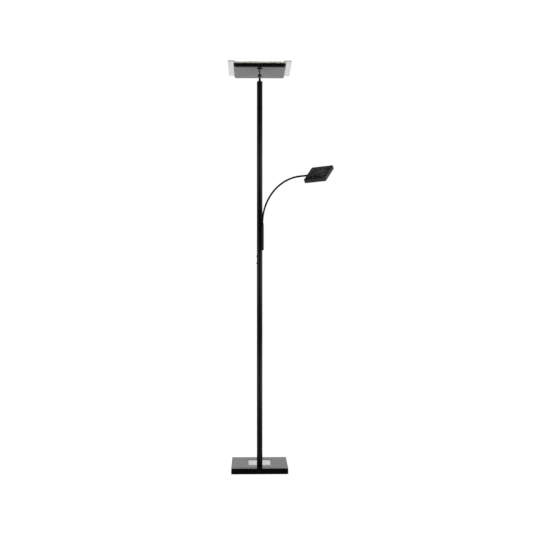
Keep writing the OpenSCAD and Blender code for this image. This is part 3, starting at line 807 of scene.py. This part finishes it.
@dataclass
class Arm(Assembly):
    """The sleeve and the hose that curves above it."""

    turn: float = 1.7 * MM
    groove: float = 0.1 * MM
    profile_steps: int = 6
    round_steps: int = 28
    sleeve_count: int = 64
    taper: float = 12.0 * MM
    mouth_wall: float = 1.0 * MM
    mouth_gap: float = 0.25 * MM
    mouth_deep: float = 6.0 * MM
    root_in: float = 8.0 * MM
    tip_in: float = 6.0 * MM
    bend_share: float = 0.42

    def build(self) -> None:
        """Build the sleeve and then the neck, one piece across each hinge."""
        self.measure()
        self.sleeve()
        self.neck()

    def bends(self) -> list[dict]:
        """Return the neck's hinges from the sleeve outwards."""
        found = [j for j in FRAME["joints"] if j["name"].startswith("neck_bend_")]
        return sorted(found, key=lambda j: int(j["name"].rsplit("_", 1)[1]))

    def sleeve(self) -> None:
        """Build the sleeve with its tapered mouth."""
        low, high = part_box("arm_sleeve")
        middle, outer = (low + high) / 2, (high.x - low.x) / 2
        neck = self.neck_radius()
        outline = rounded([
            Corner(0.5 * MM, low.z),
            Corner(outer, low.z, 0.6 * MM),
            Corner(outer, high.z - self.taper, self.taper / 2),
            Corner(neck + self.mouth_wall, high.z, 0.3 * MM),
            Corner(neck + self.mouth_gap, high.z, 0.1 * MM),
            Corner(neck + self.mouth_gap, high.z - self.mouth_deep),
        ])
        place = Matrix.Translation((middle.x, middle.y, 0))
        piece = lathe("arm_sleeve_turned", outline, place, self.sleeve_count)
        self.seat(piece, "stand", Slot.BLACK_LACQUER, "arm_sleeve")

    def neck_radius(self) -> float:
        """Return the neck's outer radius, from the tip's thickness across the bending plane."""
        low, high = span("neck_tip", Vector(self.bends()[0]["axis"]))
        return (high - low) / 2

    def measure(self) -> None:
        """Find the neck's curve from its hinges: where it starts, its radius and its links."""
        bends = self.bends()
        self.side = Vector(bends[0]["axis"])
        self.start = Vector(bends[0]["pos_m"])
        chord = Vector(bends[1]["pos_m"]) - self.start
        lean = math.acos(chord.normalized().z) * 2
        self.radius = chord.length / (2 * math.sin(lean / 2))
        self.out = self.side.cross(Vector((0, 0, 1))).normalized()
        self.total = lean * len(bends)
        self.link = lean * self.radius

    def at(self, distance: float) -> tuple[Vector, Vector]:
        """Follow the neck: upright first, then round its curve, then straight on.

        Args:
            distance: How far along the neck, from the first hinge.

        Returns:
            The place and the direction there.
        """
        turned = min(max(distance / self.radius, 0.0), self.total)
        up = Vector((0, 0, 1))
        way = self.out * math.sin(turned) + up * math.cos(turned)
        spot = self.start + self.radius * (self.out * (1 - math.cos(turned)) + up * math.sin(turned))
        return spot + way * (distance - turned * self.radius), way

    def hose(self, name: str, begin: float, end: float) -> bpy.types.Object:
        """Build one stretch of hose, with a faint ridge for each turn of the strip inside.

        Args:
            name: The piece's name.
            begin: Where it starts along the neck.
            end: Where it ends.

        Returns:
            The piece.
        """
        side, radius = self.side, self.neck_radius()
        turns = max(1, round((end - begin) / self.turn))
        rings = []
        for i in range(turns * self.profile_steps + 1):
            phase = (i % self.profile_steps) / self.profile_steps
            r = radius - self.groove * (1 - math.sin(math.pi * phase) ** 0.6)
            spot, way = self.at(begin + (end - begin) * i / (turns * self.profile_steps))
            across = side.cross(way)
            rings.append([spot + side * r * math.cos(a) + across * r * math.sin(a)
                          for a in (TAU * k / self.round_steps for k in range(self.round_steps))])
        return loft(name, rings, sharp_over=75)

    def neck(self) -> None:
        """Build the hose: one piece across each hinge, then the rigid end."""
        bends, link = self.bends(), self.link
        tip_low, tip_high = span("neck_tip", self.tip_axis())
        for i, joint in enumerate(bends):
            begin = -self.root_in if i == 0 else (i - 0.5) * link
            end = (i + 0.5) * link
            piece = self.hose(f"neck_hose_{i + 1}", begin, end)
            piece.data.materials.append(Slot.NECK_BLACK.finish.build())
            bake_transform(piece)
            self.declare(piece, Slot.NECK_BLACK, joint_node(joint["child"]))
        end = len(bends) * link + tip_high - tip_low - self.tip_in
        last = self.hose("neck_hose_end", (len(bends) - 0.5) * link, end)
        self.seat(last, bends[-1]["child"], Slot.NECK_BLACK, "neck_tip")

    def tip_axis(self) -> Vector:
        """Return the direction in which the neck ends."""
        return Vector(joint_named("reader_turn")["axis"])


def joint_node(body: str) -> str:
    """Return the CAD link that a neck body holds."""
    return "neck_link_" + body.rsplit("_", 1)[1]


@dataclass
class Reader(Assembly):
    """The square reading light."""

    wall: float = 1.8 * MM
    corner: float = 1.6 * MM
    edge: float = 1.0 * MM
    recess: float = 0.5 * MM
    panel: float = 2.0 * MM
    panel_gap: float = 0.1 * MM
    panel_edge: float = 0.4 * MM

    def build(self) -> None:
        """Build the shell and the diffuser."""
        self.measure()
        self.shell()
        self.diffuser()

    def measure(self) -> None:
        """Find the light's own frame: x away from the neck, z out of its back."""
        along = Vector(joint_named("reader_turn")["axis"])
        back = centroid("reader_heat_plate") - centroid("reader_diffuser")
        back = (back - along * back.dot(along)).normalized()
        near, far = span("reader_shell", along)
        face, rear = span("reader_shell", back)
        side = back.cross(along)
        left, right = span("reader_shell", side)
        middle = along * (near + far) / 2 + back * (face + rear) / 2 + side * (left + right) / 2
        self.half, self.thick = (far - near) / 2, rear - face
        self.place = frame_on(middle, back, along)

    def shell(self) -> None:
        """Build the shell, with its rounded back edges and the diffuser's rebate."""
        h, w, t = self.half, self.wall, self.thick / 2
        outline = rounded([
            Corner(1 * MM, t - w),
            Corner(h - w, t - w, 1 * MM),
            Corner(h - w, -t, 0.0),
            Corner(h, -t, 0.5 * MM),
            Corner(h, t, self.edge),
            Corner(1 * MM, t),
        ])
        rings = [(a, z, self.corner if a > h - w * 0.9 else 0.6 * MM) for a, z in outline]
        piece = square_loft("reader_shell_cast", rings, self.place, 6)
        self.seat(piece, "reader", Slot.BLACK_LACQUER, "reader_shell")

    def diffuser(self) -> None:
        """Build the opal panel just inside the rim."""
        h, t, e = self.half - self.wall - self.panel_gap, self.thick / 2, self.panel_edge
        front, rear = -t + self.recess, -t + self.panel
        rings = [(1 * MM, front, 0.3 * MM), (h - e, front, 0.6 * MM), (h, front + e, 0.8 * MM),
                 (h, rear, 0.8 * MM), (1 * MM, rear, 0.3 * MM)]
        piece = square_loft("reader_diffuser_opal", rings, self.place, 6)
        self.seat(piece, "reader", Slot.DIFFUSER, "reader_diffuser")


def centroid(node: str) -> Vector:
    """Return the mean of a CAD node's corners."""
    points = [v.co for v in FRAME["nodes"][node].data.vertices]
    return sum(points, Vector()) / len(points)


# --------------------------------------------------------------------------
# Studio
# --------------------------------------------------------------------------


@dataclass
class Studio:
    """A pale floor, a white tent of light and the camera."""

    lens_mm: float = 59.43
    sensor_mm: float = 36.0
    camera_at: tuple[float, float, float] = (-0.0473, -3.9988, 0.8663)
    look_right_deg: float = 1.2
    look_up_deg: float = 0.59
    floor_size: float = 60.0
    floor_colour: str = "#8c8c8b"
    floor_glow: float = 0.93
    boxes_turned_deg: float = 30.0
    overhead_side: float = 4.0
    overhead_watts: float = 60.0
    overhead_at: tuple[float, float, float] = (0.0, 0.5, 4.2)

    def build(self) -> None:
        """Set up the whole studio."""
        self.camera()
        self.floor()
        self.tent()
        self.softbox()
        bpy.context.scene.view_settings.view_transform = "Standard"

    def camera(self) -> None:
        """Place the camera at a standing viewer's distance and chest height."""
        data = bpy.data.cameras.new("camera")
        data.lens, data.sensor_width = self.lens_mm, self.sensor_mm
        seen = bpy.data.objects.new("camera", data)
        seen.location = self.camera_at
        up, right = math.radians(90 + self.look_up_deg), math.radians(self.look_right_deg)
        seen.rotation_euler = (up, 0, -right)
        bpy.context.scene.collection.objects.link(seen)
        bpy.context.scene.camera = seen

    def floor(self) -> None:
        """Lay a pale floor; it stays out of reflections, like a lit white sweep."""
        half = self.floor_size / 2
        mesh = bmesh.new()
        bmesh.ops.create_grid(mesh, x_segments=2, y_segments=2, size=half)
        data = bpy.data.meshes.new("floor")
        mesh.to_mesh(data)
        mesh.free()
        floor = bpy.data.objects.new("floor", data)
        bpy.context.scene.collection.objects.link(floor)
        pale = bpy.data.materials.new("floor_pale")
        pale.use_nodes = True
        shader = pale.node_tree.nodes["Principled BSDF"]
        shader.inputs["Base Color"].default_value = linear(self.floor_colour)
        shader.inputs["Roughness"].default_value = 0.9
        shader.inputs["Specular IOR Level"].default_value = 0.1
        light_up(shader, "#ffffff", self.floor_glow)
        data.materials.append(pale)
        floor.visible_glossy = False

    def tent(self) -> None:
        """Surround the lamp with soft light, as a studio does.

        A white sweep stands behind and a lit floor lies below, the ceiling is
        dim, the viewer's side is dark, and a low softbox stands on each flank.
        """
        world = bpy.data.worlds.new("tent")
        bpy.context.scene.world = world
        world.use_nodes = True
        tree = world.node_tree
        way = add_node(tree, "TexCoord").outputs["Generated"]
        up = add_node(tree, "SeparateXYZ", None, {0: way}).outputs["Z"]
        level = add_node(tree, "VectorMath", {1: (1.0, 1.0, 0.0)}, {0: way}, operation="MULTIPLY")
        level = add_node(tree, "VectorMath", None, {0: level.outputs[0]}, operation="NORMALIZE")
        viewer = facing(tree, level.outputs[0], 0)
        lit_side = facing(tree, level.outputs[0], self.boxes_turned_deg)
        tilt = add_node(tree, "Math", None, {0: up}, operation="ABSOLUTE").outputs[0]
        sweep = product(tree, fade(tree, up, 22, 45, 0.85, 0.15), fade(tree, up, -12, -45, 1.0, 0.8))
        box = product(tree, fade(tree, tilt, 4, 16, 1.15, 0.25), fade(tree, lit_side, -18, -2, 0.0, 1.0))
        floor = fade(tree, up, -20, -40, 0.0, 0.7)
        flank = add_node(tree, "Math", None, {0: box, 1: floor}, operation="MAXIMUM").outputs[0]
        around = add_node(tree, "Mix", None,
                          {0: fade(tree, viewer, -62, -40, 0.0, 1.0), 2: sweep, 3: flank}).outputs[0]
        strength = product(tree, around, fade(tree, viewer, 50, 68, 1.0, 0.04))
        seen = add_node(tree, "LightPath").outputs["Is Camera Ray"]
        shown = add_node(tree, "Mix", {3: 1.0}, {0: seen, 2: strength}).outputs[0]
        tree.links.new(shown, tree.nodes["Background"].inputs["Strength"])
        tree.nodes["Background"].inputs["Color"].default_value = (1.0, 1.0, 1.0, 1.0)

    def softbox(self) -> None:
        """Hang one large soft light over the lamp."""
        data = bpy.data.lights.new("overhead", "AREA")
        data.shape, data.energy = "RECTANGLE", self.overhead_watts
        data.size = data.size_y = self.overhead_side
        light = bpy.data.objects.new("overhead", data)
        light.location = self.overhead_at
        light.visible_glossy = False
        bpy.context.scene.collection.objects.link(light)


def dress_frame() -> None:
    """Give every CAD node the finish of its slot in the record."""
    finishes = {s.slot: s.finish for s in Slot}
    slots = {p["node"]: p["material_slot"] for p in FRAME["record"]["subparts"]}
    for name, node in FRAME["nodes"].items():
        node.data.materials.clear()
        node.data.materials.append(finishes[slots[name]].build())


def corners(box: Iterable[Vector]) -> list[list[float]]:
    """Return a box's two corners as plain lists."""
    return [list(corner) for corner in box]


def main() -> None:
    """Build the studio, dress the frame and build each sub-assembly."""
    logging.basicConfig(level=logging.INFO, format="%(name)s: %(message)s")
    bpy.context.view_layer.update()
    Studio().build()
    dress_frame()
    for assembly in (Base(), Pole(), Head(), Arm(), Reader()):
        assembly.build()
        LOG.info("%s: %d pieces", type(assembly).__name__, len(assembly.made))


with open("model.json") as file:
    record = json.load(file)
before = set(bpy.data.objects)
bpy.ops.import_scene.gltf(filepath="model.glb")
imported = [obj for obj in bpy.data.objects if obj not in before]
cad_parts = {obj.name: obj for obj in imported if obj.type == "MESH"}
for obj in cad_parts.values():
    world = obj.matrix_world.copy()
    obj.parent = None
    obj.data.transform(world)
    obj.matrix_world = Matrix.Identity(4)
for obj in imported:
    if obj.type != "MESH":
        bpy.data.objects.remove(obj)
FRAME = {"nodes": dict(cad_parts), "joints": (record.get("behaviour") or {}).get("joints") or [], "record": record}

if __name__ == "__main__":
    main()
